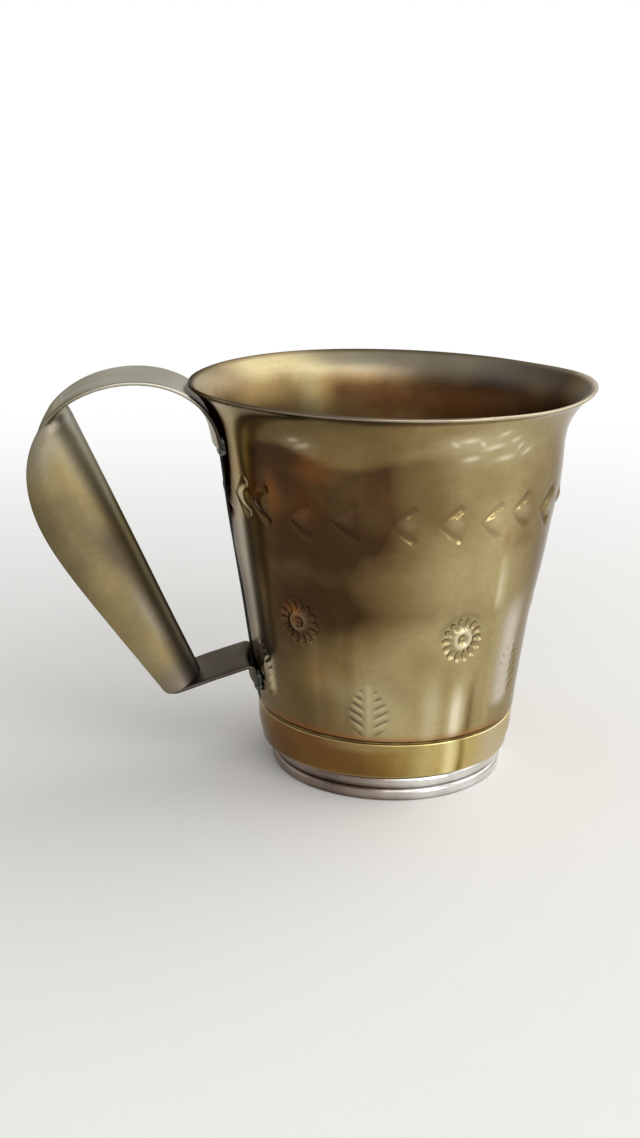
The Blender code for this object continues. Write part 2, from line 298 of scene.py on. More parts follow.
def agedBrass(name, rubbed, clean, middle, brown, grime, slant, gloss, cloud):
    # sheet brass, shaped and planished by hand and long unpolished: a soft olive-gold gloss, brown tarnish in
    # clouds, copper-red bloom, remains of grey tinning, dark grime in sunk lines and pale rubbed edges; the
    # point fields also paint shade, highlights and reflections into these tones
    material, tree, place = newMaterial(name)
    patina, dirt, worn, satin, bloom, tinned = [
        addNode(tree, "Attribute", {"attribute_name": field}).outputs["Fac"]
        for field in ("patina", "grime", "worn", "satin", "bloom", "tinned")]
    clouds = addNoise(tree, place, cloud, 4.0, distortion=0.3)
    drift = addRange(tree, clouds, (0.3, 0.7), (-age["drift"], age["drift"]))
    tarnish = addMath(tree, "ADD", drift, patina, clamp=True)
    ramp = addNode(tree, "ValToRGB", {}, {"Fac": tarnish})
    ramp.color_ramp.elements[0].color = hexToLinear(clean)
    ramp.color_ramp.elements[1].color = hexToLinear(brown)
    ramp.color_ramp.elements.new(0.5).color = hexToLinear(middle)
    settings = {"Scale": [1 / size for size in age["marks"]]}
    stretch = addNode(tree, "Mapping", settings, {"Vector": place})
    marks = addNoise(tree, stretch.outputs["Vector"], 1, 2.0)
    specks = addNoise(tree, place, age["specks"], 3.0, 0.65)
    shade = addMath(tree, "MULTIPLY", addRange(tree, marks, (0.3, 0.7), (0.975, 1.02)),
                    addRange(tree, specks, (0.35, 0.65), (0.95, 1.04)))
    shaded = addNode(tree, "VectorMath", {"operation": "SCALE"},
                     {0: ramp.outputs["Color"], "Scale": shade})
    colour = shaded.outputs["Vector"]
    for share, code in ((bloom, age["copper"]), (tinned, age["tin"]), (dirt, grime), (worn, rubbed)):
        colour = addMix(tree, share, {7: hexToLinear(code)}, {6: colour})
    rough = addRange(tree, tarnish, (0.0, 1.0), gloss)
    rough = addMath(tree, "MULTIPLY_ADD", satin, age["satin"], rough)
    rough = addMath(tree, "MULTIPLY_ADD", dirt, age["grit"], rough)
    tint = addMix(tree, dirt, {6: hexToLinear(slant), 7: hexToLinear(age["crust"])})
    addMetal(tree, marks, 0.06, 0.04, {"Base Color": colour, "Roughness": rough, "Specular Tint": tint})
    return material


def dullSolder(name, pale, dark, size):
    # soft tin-lead solder, run in and left as it set: dull grey, darker grains and a faint lustre
    material, tree, place = newMaterial(name)
    grains = addNoise(tree, place, size, 4.0, 0.65)
    ramp = addNode(tree, "ValToRGB", {}, {"Fac": grains})
    for stop, position, code in zip(ramp.color_ramp.elements, (0.36, 0.64), (dark, pale)):
        stop.position = position
        stop.color = hexToLinear(code)
    rough = addRange(tree, grains, (0.3, 0.7), (0.55, 0.36))
    addMetal(tree, grains, 0.35, 0.12, {"Base Color": ramp.outputs["Color"], "Roughness": rough})
    return material


# tones: rubbed, also for painted highlights, clean, middling and brown, also for painted shade, grime, also
# for painted shade, and the tint at a low angle; then the roughness clean and tarnished, and the size of a
# tarnish cloud in mm
brassTones = {
    "wall": ("#FCF1D2", "#B8A879", "#846F47", "#483320", "#3A2A1B", "#EAE7E2", (0.14, 0.20), 16),
    "band": ("#F6E8AE", "#C8B270", "#907840", "#664F30", "#4A3820", "#EAE7E2", (0.14, 0.20), 12),
    "handle": ("#D2CFC0", "#AEAA97", "#96865E", "#4E443A", "#33291F", "#DCDBD6", (0.28, 0.34), 14),
}
# on the foot the clean tone is near white, the colour its right side takes as a painted reflection
footTones = ("#F3F1EE", "#ECECEB", "#9C8C7E", "#604E44", "#55473C", "#FFFFFF", (0.20, 0.28), 8)
wallBrass, bandBrass, gripBrass = [
    agedBrass("aged sheet brass, " + name, *row) for name, row in brassTones.items()]
footTin = agedBrass("tinned brass, foot", *footTones)
softSolder = dullSolder("soft solder", "#6C706C", "#3A3C3A", 0.9)
darkSolder = dullSolder("soft solder, tarnished", "#8C7446", "#6E5936", 2.5)
print("materials made")


# the base was set on by hand: band and seam stand highest at the back left
base = {"lift": 0.3, "tilt": 0.7, "highAngle": 131.0}


def baseTilt(angle):
    return base["lift"] + base["tilt"] * np.cos(angle - math.radians(base["highAngle"]))


# wall: a tapered sheet with a flared lip, rolled in above the band; (radius, height) and curves' pulls, mm;
# oval: size, times round, turn; dents on the right: depth, height, half height
wall = {
    "rim": boxRadius(wallBox), "height": wallBox[1, 2], "setIn": (0.24, 0.32), "sheet": 0.8, "edge": 0.48,
    "shoulder": (41.45, 72.0), "waist": (33.22, 17.6), "rollEnd": (31.6, 16.5),
    "skirtTop": (30.75, 15.6), "skirtFoot": (30.06, wallBox[0, 2]), "skirtRows": 12,
    "lipPull": (6.8, 5.0), "shoulderPull": 10.0, "waistPull": 0.9, "rollPull": (1.1, -0.05),
    "neckPull": (0.6, 0), "skirtPull": (0.05, 0.6), "easePull": (0.35, 2.1), "easeRise": 0.8,
    "lipDip": 0.7, "lipDipAngle": -8.0, "beak": 1.3, "lipLow": 0.6,
    "oval": ((0.35, 2, 0.6), (0.15, 3, -0.4)),
    "dentAngle": -15.0, "dents": ((0.35, 73, 8), (-0.85, 89, 10), (-0.55, 36, 26)),
    "columns": 172, "finer": 5, "rowStep": 1.35,
}
wallTaper = (wall["shoulder"][0] - wall["waist"][0]) / (wall["shoulder"][1] - wall["waist"][1])

# marks, first those in front: degrees, height in mm, and a share of the depth where weaker; drawn is how wide
# the sheet is drawn in, dirt, rub and ground how far sunk lines are dirtied, raised parts rubbed bright, as
# wear and painted highlight, and the ground round a mark lightened; split is where cells are finer: ahead,
# half width, half height
chevrons = {"marks": [(-158.3, 74.5, 0.6), (-148.2, 74.2, 0.6), (-132.0, 72.2), (-116.3, 73.0), (-97.2, 72.8),
                      (-81.8, 72.7), (-66.7, 72.3), (-54.1, 73.8)]
            + [(a, 72.4) for a in np.arange(-38, 195, 17.4)],
            "reach": 5.2, "spread": 3.7, "bow": 0.3, "groove": 1.5, "depth": 0.46, "swelling": 0.36,
            "drawn": 3.1, "dirt": 0.24, "rub": 0.2, "ground": 0.0, "split": (2.7, 4.4, 5.0)}
rosettes = {"marks": [(-132.1, 46.0), (-68.4, 42.9), (-9.5, 44.0), (50.0, 45.0), (110.0, 44.5),
                      (168.0, 44.0)],
            "radius": 6.0, "petals": 14, "depth": 0.6, "scallop": 0.9, "ring": 0.34, "hollow": 0.4,
            "boss": 0.34, "drawn": 4.6, "dirt": 0.28, "rub": 0.8, "ground": 0.08, "split": (0, 6.7, 6.7)}
leaves = {"marks": [(-104.5, 24.9), (-157.0, 29.2, 0.6), (-38.0, 31.5), (20.0, 27.0), (80.0, 26.0),
                    (140.0, 28.0)],
          "half": (5.6, 7.7), "vein": 2.3, "slope": 0.6, "depth": 0.38, "swelling": 0.1, "rib": 0.16,
          "drawn": 5.6, "dirt": 0.8, "rub": 0.3, "ground": 0.14, "split": (0, 6.2, 8.2)}
# every punch draws the sheet in round it, outside and as a dent inside; mm
punch = {"reach": 16, "sink": 0.26, "dent": 0.36}
# short ridges where the sheet was stretched under the lip: degrees, height, half length in mm and lean; their
# rub paints a glint along each ridge and a faint pale halo round it
creases = {"marks": [(-124.2, 90.2, 3.0, 0.2), (-127.0, 91.4, 2.2, 0.1), (-74.8, 93.0, 3.6, 0.05),
                     (-64.0, 94.2, 2.4, 0.3), (-58.9, 92.3, 2.2, 0.3), (-66.4, 90.9, 4.4, 0.15),
                     (-52.2, 88.8, 2.2, 0.4), (-61.1, 87.9, 4.0, 0.1), (-73.3, 88.4, 3.2, 0.1),
                     (-70.5, 92.0, 1.4, -0.5), (-56.0, 90.4, 1.3, 0.8), (-79.3, 92.2, 1.7, -0.4)],
           "wide": 1.0, "rise": 0.18, "rub": 0.62, "margin": 0.8}


def chevronRelief(u, v):
    # two soft sunk strokes from a tip at the left, wider and deeper towards their open ends, and a swelling
    # between them
    way = np.array([chevrons["reach"], chevrons["spread"]])
    size = np.linalg.norm(way)
    way = way / size
    side = np.abs(v)
    along = np.clip(u * way[0] + side * way[1], 0, size)
    bow = chevrons["bow"] * np.sin(math.pi * along / size)
    off = np.hypot(u - along * way[0], side - along * way[1] - bow)
    toEnd = along / size
    groove = -chevrons["depth"] * (0.4 + 0.6 * toEnd) * hump(off, chevrons["groove"] * (0.55 + 0.7 * toEnd))
    swelling = chevrons["swelling"] * hump(np.hypot((u - 3.9) / 1.3, v), 2.6)
    return groove + swelling


def rosetteRelief(u, v):
    # sunk petals with scalloped ends and thin ridges between; a raised ring round a hollow with a boss
    out = np.hypot(u, v)
    petal = np.abs(np.cos(np.arctan2(v, u) * rosettes["petals"] / 2))
    end = rosettes["radius"] - rosettes["scallop"] * (1 - petal)
    zone = fadeIn(2.4, 3.8, out) * fadeOut(end - 1.0, end, out)
    petals = -rosettes["depth"] * zone * (0.1 + 0.9 * petal ** 0.8)
    ring = rosettes["ring"] * hump(out - 2.0, 0.95)
    middle = -rosettes["hollow"] * fadeOut(0.6, 1.5, out) + rosettes["boss"] * hump(out, 0.7)
    return petals + ring + middle


def leafRelief(u, v):
    # a pointed leaf: raised midrib, and veins sunk upwards and outwards from it, each a soft spindle
    halfWidth, halfLength = leaves["half"]
    level = np.clip((v + halfLength) / (2 * halfLength), 0, 1)
    edge = halfWidth * np.sin(math.pi * level ** 0.8) ** 0.7
    inside = fadeOut(-1.5, 0.2, np.abs(u) - edge) * (np.abs(v) < halfLength)
    beat = (v - leaves["slope"] * np.abs(u) + 0.4) / leaves["vein"]
    vein = (0.5 + 0.5 * np.cos(2 * math.pi * beat)) ** 1.5
    offRib = fadeIn(0.5, 2.0, np.abs(u))
    rib = leaves["rib"] * hump(u, 1.0) * fadeIn(0, 0.1, level) * fadeOut(0.9, 1, level)
    return inside * (leaves["swelling"] - leaves["depth"] * vein * offRib) + rib


def ornament(angle, height, radius):
    # sums over the marks: relief in mm outwards, soft dents inside, and shares of dirt, of rubbing as wear
    # and painted highlight, of painted shade on a rosette's upper rim and of painted glints on the ridges
    # under the lip
    relief, dent, dirt, rub = np.zeros((4,) + angle.shape)
    for kind, shape in ((chevrons, chevronRelief), (rosettes, rosetteRelief), (leaves, leafRelief)):
        for degrees, level, *weak in kind["marks"]:
            u = radius * wrapAngle(angle - math.radians(degrees))
            v = height - level
            near = (np.abs(u) < punch["reach"]) & (np.abs(v) < punch["reach"])
            u, v = u[near], v[near]
            form = shape(u, v) * (weak[0] if weak else 1)
            fall = np.exp(-(u ** 2 + v ** 2) / (2 * kind["drawn"] ** 2))
            relief[near] += form - punch["sink"] * fall
            dent[near] -= punch["dent"] * fall
            dirt[near] += kind["dirt"] * np.clip(-form * 4.0 - 0.2, 0, 1)
            rub[near] += kind["rub"] * np.clip(form * 2.6 - 0.1, 0, 1) + kind["ground"] * fall
            if kind is rosettes:
                # painted shade along the upper rim
                out = np.hypot(u, v)
                upper = fadeIn(0.1, 0.8, (v - 0.4 * u) / out.clip(1))
                dirt[near] += 0.3 * hump(out - rosettes["radius"] - 0.4, 1.1) * upper
    for degrees, level, half, lean in creases["marks"]:
        u = radius * wrapAngle(angle - math.radians(degrees))
        ridge = hump(height - level - lean * u, creases["wide"]) * hump(u, half)
        relief += creases["rise"] * ridge
        rub += creases["rub"] * ridge + 0.1 * hump(np.hypot(u / 9, (height - level) / 3.5), 1)
    return relief, dent, dirt, rub


def wallRuns():
    # outline in (radius, height): outside from the lip to the skirt, inside back up, and the round lip edge
    rim = np.array([wall["rim"], wall["height"]]) - wall["setIn"]
    shoulder, waist, rollEnd, skirtTop, skirtFoot = [
        np.array(wall[key]) for key in ("shoulder", "waist", "rollEnd", "skirtTop", "skirtFoot")]
    fall = np.array([wallTaper, 1])
    pull = wall["waistPull"] * fall
    lip = bezier([rim, rim - wall["lipPull"], shoulder + wall["shoulderPull"] * fall, shoulder], 60)
    roll = bezier([waist, waist - pull, rollEnd + wall["rollPull"], rollEnd], 10)
    neck = bezier([rollEnd, rollEnd - wall["neckPull"], skirtTop + wall["skirtPull"], skirtTop], 8)
    outer = chain(lip, line(shoulder, waist, 90), roll, neck, line(skirtTop, skirtFoot, wall["skirtRows"]))
    # inside, the sheet keeps its thickness down to just above the roll and then eases in to the skirt
    straight = chain(lip, line(shoulder, waist + wall["easeRise"] * fall, 90))
    straight = straight - wall["sheet"] * sideways(straight)
    skirtIn = np.array([wall["sheet"], 0])
    top, foot = skirtTop - skirtIn, skirtFoot - skirtIn
    ease = bezier([straight[-1], straight[-1] - pull, top + wall["easePull"], top], 16)
    inner = chain(straight, ease, line(top, foot, wall["skirtRows"]))[::-1]
    # the lip edge is a little fuller than the sheet
    ahead = unit(outer[0] - outer[1])
    across = unit(outer[0] - inner[-1])
    swing = np.linspace(-0.6 * math.pi, 0.6 * math.pi, 11)[1:-1, None]
    edge = (outer[0] + inner[-1]) / 2 + wall["edge"] * (np.cos(swing) * ahead + np.sin(swing) * across)
    return outer, inner, edge


outerRun, innerRun, edgeRun = wallRuns()
loopPath = np.concatenate([outerRun, innerRun, edgeRun, outerRun[:1]])
loopWay = lengths(loopPath)
outerEnd = loopWay[len(outerRun) - 1]
innerStart, innerEnd = loopWay[len(outerRun)], loopWay[len(outerRun) + len(innerRun) - 1]
waistWay = np.interp(-wall["waist"][1], -outerRun[:, 1], lengths(outerRun))
skirtWay = loopWay[len(outerRun) - wall["skirtRows"]]

# tarnish and painted shade: brown left of the front, up to an edge by height, partly tarnish and partly
# painted shade for the dark surroundings the metal reflects there, lighter above a wavy edge and darker near
# the right edge; streaks are painted reflections, dark where the share is above 0 and painted highlights
# where it is below: degrees, half width in degrees, share, lowest and highest mm
tarnish = {"middle": -146.0, "soft": 24.0, "rightEdge": -28.0, "innerStreak": 112.5, "back": (24.0, 52.0),
           "tide": 89.0, "edge": ((18, 36), (31, 22), (43, 36), (50, 55), (60, 49), (74, 64), (85, 60)),
           "streaks": ((-67.8, 4.8, -1.2, 18, 28), (-60.7, 3.5, 0.42, 17, 30), (-152.0, 4.5, -1.1, 24, 33),
                       (-51.0, 4.0, -0.16, 17, 50), (-79.0, 7.0, -0.34, 17, 32), (-112.0, 4.0, 0.12, 17, 46),
                       (-126.0, 3.0, -0.10, 17, 46), (-54.0, 3.0, -0.6, 50, 60), (-47.0, 13.0, 0.22, 64, 80),
                       (-101.0, 9.0, 0.16, 66, 92), (-60.0, 16.0, 0.14, 78, 92))}
# painted sheen carried as grey tin: a pale stripe beside the handle by height and degrees, a painted
# reflection, with a painted dark reflection so many degrees beyond it; inside, under the lip, a painted grey
# highlight by degrees and share; on the right a painted pale highlight: degrees, half width, lowest and
# highest mm, share
tinning = {"stripe": ((40, -156.0), (50, -155.0), (60, -157.0), (70, -156.0), (82, -153.5), (91, -150.5)),
           "wide": 10.5, "share": 0.7, "lip": (0.15, 0.34),
           "dirtFrom": ((60, 10.8), (80, 4.5)), "dirtTo": (30, 46),
           "inside": ((-180, 0.15), (-120, 0.04), (0, 0.08), (35, 0.22), (60, 0.31), (95, 0.31), (120, 0.06),
                      (180, 0.15)),
           "right": (-42.0, 10.0, 25, 49, 0.95)}
# patches of copper bloom, some of them painted orange reflections, as at the left rosette and the rightmost
# chevrons: degrees, height, half width in degrees, half height in mm, share
bloomPatches = ((-121.0, 85.5, 10, 6, 0.5), (-137.5, 78.0, 5, 10, 0.4), (-127.0, 76.0, 11, 8, 0.14),
                (-147.0, 77.0, 6, 6, 0.45), (-134.5, 48.0, 7, 5, 0.3), (-120.0, 33.0, 15, 5.5, 0.6),
                (-100.0, 80.0, 14, 6, 0.12), (-74.0, 33.0, 4, 6, 0.2), (-62.5, 73.0, 3, 4, 0.35),
                (-54.5, 67.5, 3, 4, 0.5), (-155.0, 81.0, 4, 5, 0.35), (60.0, 60.0, 14, 12, 0.25),
                (130.0, 82.0, 12, 8, 0.25))


def outerPatina(angle, height, cloud):
    # a soft-edged brown field, partly tarnish and partly painted shade, lighter above a wavy edge and darker
    # near the right edge as painted shade; clouds; upright streaks that are painted reflections, below 0
    # where they are painted highlights
    side = degreesFrom(angle, tarnish["middle"])
    edge = np.interp(height, *np.transpose(tarnish["edge"]))
    field = fadeOut(edge - tarnish["soft"], edge + tarnish["soft"], side)
    field = field * (1 - 0.6 * fadeIn(*tarnish["back"], -side)) * fadeOut(110, 175, -side)
    tide = tarnish["tide"] + 1.6 * roundRipple(73, 5, angle, 6)
    strength = 0.62 + 0.38 * fadeIn(24, 50, height)
    strength = strength * (1 - 0.45 * fadeIn(tide - 1.5, tide + 1.5, height))
    behind = fadeIn(100, 150, np.abs(side))
    total = np.maximum(field * strength, 0.28 * behind) + (0.05 + 0.14 * behind) * cloud + 0.05
    total = total + 0.36 * hump(degreesFrom(angle, tarnish["rightEdge"]), 34)
    for degrees, wide, share, low, high in tarnish["streaks"]:
        tall = fadeIn(low - 2, low + 2, height) * fadeOut(high - 5, high + 7, height)
        total = total + share * tall * hump(degreesFrom(angle, degrees), wide)
    return total


def innerPatina(angle, height, cloud):
    # painted shade: darker downwards and to the right, less so on the left and where light falls; paler along
    # a streak and on the far lip as painted highlights; an even middling tone near the floor
    right = 0.5 + 0.5 * np.cos(angle - math.radians(15))
    streak = hump(degreesFrom(angle, tarnish["innerStreak"]), 12)
    left, lit = hump(degreesFrom(angle, 165), 65), hump(degreesFrom(angle, 45), 40)
    deep = fadeOut(88, 96, height) * (1 - 0.55 * left - 0.35 * lit)
    far = fadeIn(93, 97, height) * hump(degreesFrom(angle, 95), 90)
    mottle = 0.12 * cloud + 0.24 * roundRipple(79, 8, angle, 4, height / 3)
    total = (0.18 + 0.66 * right ** 1.4 + 0.5 * deep + mottle) * (1 - 0.65 * streak) - 0.32 * far
    bare = fadeOut(50, 76, height)
    return total * (1 - bare) + (0.42 + 0.12 * cloud) * bare


def besideHandle(angle, height):
    # shares of the pale grey stripe beside the handle, a painted reflection, and of the painted dark
    # reflection behind it
    off = degreesFrom(angle, np.interp(height, *np.transpose(tinning["stripe"])))
    start = np.interp(height, *np.transpose(tinning["dirtFrom"]))
    dirt = fadeIn(start, start + 4, -off) * fadeOut(*tinning["dirtTo"], -off)
    return fadeIn(26, 36, height) * hump(off, tinning["wide"]), dirt * fadeIn(15, 19, height)


def wallBloom(angle, height, inside):
    # outside soft patches, some of them painted orange reflections, broken up by waviness, and a line along
    # the roll; inside a glow on the far side
    total = 0
    for degrees, level, wide, tall, share in bloomPatches:
        total = total + share * hump(np.hypot(degreesFrom(angle, degrees) / wide, (height - level) / tall), 1)
    total = total * (0.75 + 0.35 * roundRipple(77, 8, angle, 2.5, height / 4))
    total = total + 0.5 * fadeOut(17.2, 19.0, height)
    within = 0.12 * fadeOut(88, 93, height) * hump(degreesFrom(angle, 65), 60)
    return np.where(inside, within, np.clip(total, 0, 0.8))


def wallPush(angle, height, marks):
    # mm outwards: the marks, hammered waves, buckles under the lip, dents on the right and an oval mouth
    wave = 0.10 * roundRipple(3, 9, angle, 7, height / 8) + 0.04 * roundRipple(8, 9, angle, 3.2, height / 3.6)
    buckle = 0.16 * roundRipple(14, 8, angle, 3.5, height / 5) * hump(height - 80, 14)
    dents = sum(depth * hump(height - level, tall) for depth, level, tall in wall["dents"])
    dents = dents * hump(degreesFrom(angle, wall["dentAngle"]), 70)
    oval = sum(size * np.cos(times * (angle - turn)) for size, times, turn in wall["oval"])
    push = (marks + wave + buckle + dents) * fadeIn(17.5, 20.5, height)
    return push + oval * fadeIn(30, 90, height)


def wallLift(angle, height):
    # mm upwards: the lip dips to one side and is bent at its tips, and the foot follows the tilt of the base
    off = degreesFrom(angle, wall["lipDipAngle"])
    dip = -wall["lipDip"] * np.cos(np.radians(off)) * fadeIn(55, 98, height)
    bent = wall["beak"] * hump(off, 50) - wall["lipLow"] * hump(180 - np.abs(off), 65)
    return dip + bent * fadeIn(70, 98, height) + baseTilt(angle) * fadeOut(18, 46, height)


def wallPlace(way, angle):
    # point and fields of the wall at a distance along the closed outline and an angle round the axis
    radius = np.interp(way, loopWay, loopPath[:, 0])
    height = np.interp(way, loopWay, loopPath[:, 1])
    inside = (way > outerEnd) & (way < innerEnd)
    relief, dent, dirt, rub = ornament(angle, height, radius)
    push = wallPush(angle, height, np.where(inside, dent, relief))
    points = roundAxis(radius + push, angle, height + wallLift(angle, height))
    cloud = roundRipple(71, 9, angle, 9, height / 11)
    patina = np.where(inside, innerPatina(angle, height, cloud), outerPatina(angle, height, cloud))
    # the pale stripe beside the handle and the dark beyond it are painted reflections
    stripe, behind = [share * ~inside for share in besideHandle(angle, height)]
    patina = patina * (1 - 0.9 * stripe)
    patina = patina + (1 - patina) * behind
    # a pale painted highlight on the right, carried as tin
    degrees, wide, low, high, share = tinning["right"]
    second = share * hump(degreesFrom(angle, degrees), wide) * ~inside
    second = second * fadeIn(low - 4, low, height) * fadeOut(high - 6, high + 4, height)
    # dirt in the marks and along the roll; painted dark reflection behind the handle, painted shade inside on
    # the right and on the lip edge's left
    lipEdge = (way > innerEnd - 0.4) | (way < 0.2)
    lipRight = fadeIn(-0.6, 1.0, np.cos(angle + math.radians(40)))
    grime = np.maximum(dirt, 0.35 * fadeOut(16.7, 17.5, height))
    grime = np.where(inside, 0.4 * hump(degreesFrom(angle, 8), 48), grime)
    grime = np.maximum(grime, 0.95 * behind) * (1 - 0.8 * second)
    grime = np.where(lipEdge, 0.62 * (1 - lipRight), grime)
    # paler where marks are rubbed, as wear and painted highlight, and where streaks go below 0 as painted
    # highlights
    rub = np.maximum(rub * (1 - 0.9 * np.clip(patina, 0, 1)), 0.4 * second)
    worn = np.where(inside | lipEdge, 0, np.maximum(rub, -patina))
    # grey tin as painted sheen: on the lower stripe, the right highlight, inside under the lip and along the
    # lip edge, most on its right
    lowStripe = stripe * fadeOut(64, 78, height)
    kept = np.interp(degreesFrom(angle, 0), *np.transpose(tinning["inside"]))
    tinned = np.where(inside, kept * fadeIn(91, 96, height), tinning["share"] * lowStripe + second)
    tinned = np.where(lipEdge, np.interp(lipRight, (0, 1), tinning["lip"]), tinned)
    return points, {"patina": np.clip(patina, 0, 1), "grime": grime, "worn": np.clip(worn, 0, 0.9),
                    "satin": inside + 0.3 * lowStripe, "bloom": wallBloom(angle, height, inside),
                    "tinned": tinned}


def makeWall():
    # the closed outline carried round the axis: rows are finer at the roll and the lip edge, and every cell
    # that a mark touches is split; a plain cell beside a split one takes the extra edge points as corners
    step = wall["rowStep"]
    knots = np.concatenate([
        np.linspace(0, waistWay, int(waistWay / step) + 1), np.linspace(waistWay, skirtWay, 12)[1:],
        np.linspace(skirtWay, outerEnd, 5)[1:],
        np.linspace(innerStart, innerEnd, int((innerEnd - innerStart) / step) + 1)[:-1],
        np.linspace(innerEnd, loopWay[-1], 9)[:-1]])
    ends = np.append(knots, loopWay[-1])
    rows, columns, finer = len(knots), wall["columns"], wall["finer"]
    middle = (ends[:-1] + ends[1:])[:, None] / 2
    midHeight = np.interp(middle, loopWay, loopPath[:, 1])
    midRadius = np.interp(middle, loopWay, loopPath[:, 0])
    midAngle = (np.arange(columns)[None, :] + 0.5) * 2 * math.pi / columns
    split = np.zeros((rows, columns), bool)
    zones = [(mark, *kind["split"], kind is rosettes)
             for kind in (chevrons, rosettes, leaves) for mark in kind["marks"]]
    zones += [(mark, 0, mark[2] + creases["margin"], creases["wide"] + creases["margin"], False)
              for mark in creases["marks"]]
    for (degrees, level, *rest), ahead, wide, tall, isRound in zones:
        u = (midRadius * wrapAngle(midAngle - math.radians(degrees)) - ahead) / wide
        v = (midHeight - level) / tall
        hit = np.hypot(u, v) < 1 if isRound else np.maximum(np.abs(u), np.abs(v)) < 1
        split |= hit & (middle < outerEnd)
    tallRows, wideColumns = rows * finer, columns * finer

    def pointId(row, column):
        return (row % tallRows) * wideColumns + column % wideColumns

    def cells(chosen, walk):
        # faces of the chosen cells, each walking round the given (row, column) corners
        i, j = np.nonzero(chosen)
        down, over = np.array(walk).T
        return pointId(i[:, None] * finer + down, j[:, None] * finer + over)

    sides = [np.roll(split, 1, 0), np.roll(split, -1, 1), np.roll(split, -1, 0), np.roll(split, 1, 1)]
    pattern = np.where(split, -1, sum(side.astype(int) << bit for bit, side in enumerate(sides)))
    starts = ((0, 0, 0, 1), (0, finer, 1, 0), (finer, finer, 0, -1), (finer, 0, -1, 0))
    faceSets = [cells(split, [(a, b), (a + 1, b), (a + 1, b + 1), (a, b + 1)])
                for a in range(finer) for b in range(finer)]
    for which in range(16):
        walk = [(a + k * c, b + k * d) for bit, (a, b, c, d) in enumerate(starts)
                for k in range(finer if which >> bit & 1 else 1)]
        faceSets.append(cells(pattern == which, walk[::-1]))
    used = np.unique(np.concatenate([found.reshape(-1) for found in faceSets]))
    faces = [face for found in faceSets for face in np.searchsorted(used, found).tolist()]
    way = np.interp(used // wideColumns / finer, np.arange(rows + 1), ends)
    points, fields = wallPlace(way, used % wideColumns * 2 * math.pi / wideColumns)
    putPiece("mug_wall", points, faces, "body_wall", "wall_brass", wallBrass, **fields)


makeWall()


# base band, foot ring and bottom; radius and height in mm
band = {"top": (boxRadius(bandBox), bandBox[1, 2]), "taper": 1.2, "low": bandBox[0, 2], "sheet": 0.8,
        "round": 0.38, "bulge": 0.35, "wave": 0.07, "columns": 240}
foot = {"radius": boxRadius(footBox), "height": footBox[1, 2], "width": 3.2, "bead": 0.9, "beads": 2,
        "shift": 0.5, "shiftAngle": -8.0, "oval": 0.8, "wave": 0.05, "columns": 240}
disc = {"radius": boxRadius(discBox), "under": discBox[0, 2], "sheet": 0.8, "dent": 0.12, "hole": 0.02,
        "rings": 40, "columns": 96}


def carriedRound(outline, columns, waviness, seed):
    # a closed outline carried round the axis, with slight waviness; row by row along the outline
    angle = fullTurn(columns)
    radius, height = outline[:, :1], outline[:, 1:]
    return radius + waviness * roundRipple(seed, 7, angle, 6, height / 4, radius=32), angle, height


def roundedLoop(corners, radius, steps, spacing):
    # closed outline with each corner eased by a short curve, and points every so often along it
    corners = np.asarray(corners, float)
    before = unit(np.roll(corners, 1, 0) - corners)
    after = unit(np.roll(corners, -1, 0) - corners)
    t = np.linspace(0, 1, steps)[None, :, None]
    a, c = (corners + before * radius)[:, None], (corners + after * radius)[:, None]
    eased = ((1 - t) ** 2 * a + 2 * t * (1 - t) * corners[:, None] + t ** 2 * c).reshape(-1, 2)
    closed = np.concatenate([eased, eased[:1]])
    return resample(closed, int(lengths(closed)[-1] / spacing))[:-1]


def basePatina(angle):
    # the base is darker on the left and paler on the right, as the wall above it: partly tarnish and partly
    # painted shade
    side = degreesFrom(angle, tarnish["middle"])
    return fadeOut(20, 80, side) * (1 - 0.5 * fadeIn(60, 110, -side)) * fadeOut(110, 175, -side)


def makeBand():
    # a slightly bulging strip, higher where the base tilts; paler edges, as wear and painted highlight; on
    # the right painted highlights, a painted dark reflection and a grey painted reflection
    top = np.array(band["top"])
    low = np.array([top[0] - band["taper"], band["low"]])
    inward = np.array([band["sheet"], 0])
    outline = roundedLoop([low - inward, low, top, top - inward], band["round"], 6, 0.3)
    radius, angle, height = carriedRound(outline, band["columns"], band["wave"], 21)
    toTop, toLow = top[1] - height, height - low[1]
    bulge = band["bulge"] * hump(height - (top[1] + low[1]) / 2, (top[1] - low[1]) / 2)
    settle = baseTilt(angle) * fadeIn(band["low"] - 2, top[1], height)
    points = roundAxis(radius + bulge, angle, height + settle)
    outside = outline[:, :1] > np.interp(height, [low[1], top[1]], [low[0], top[0]]) - 0.4
    turn = degreesFrom(angle, 0)
    edges = 0.24 * fadeOut(0.1, 0.6, toTop) + 0.35 * fadeOut(0.1, 0.6, toLow)
    # painted highlights: a narrow bright stripe and fainter ones towards the right, and a broad one in front
    # under the top edge
    bright = 0.9 * hump(turn + 68.3, 5.5) + 0.2 * hump(turn + 80, 9) + 0.2 * hump(turn + 38, 20)
    front = 0.16 * hump(toTop - 1.0, 2.2) * hump(turn + 108, 26)
    worn = outside * np.maximum(np.maximum(edges, bright), front)
    cloud = roundRipple(23, 6, angle, 1, height / 5, radius=5)
    # a dark upright stripe beside the bright one is a painted reflection
    patina = 0.1 + 0.75 * basePatina(angle) + 0.12 * cloud + 0.55 * hump(turn + 62.5, 3.8)
    # the grey on the right, carried as tin, is a painted reflection
    putPiece("base_band_sheet", points, ringFaces(points), "base_band", "band_brass", bandBrass,
             patina=np.clip(patina, 0, 1), grime=0.7 * (1 - outside), worn=worn,
             bloom=0.22 * outside * basePatina(angle), tinned=0.5 * outside * hump(turn + 42, 20))


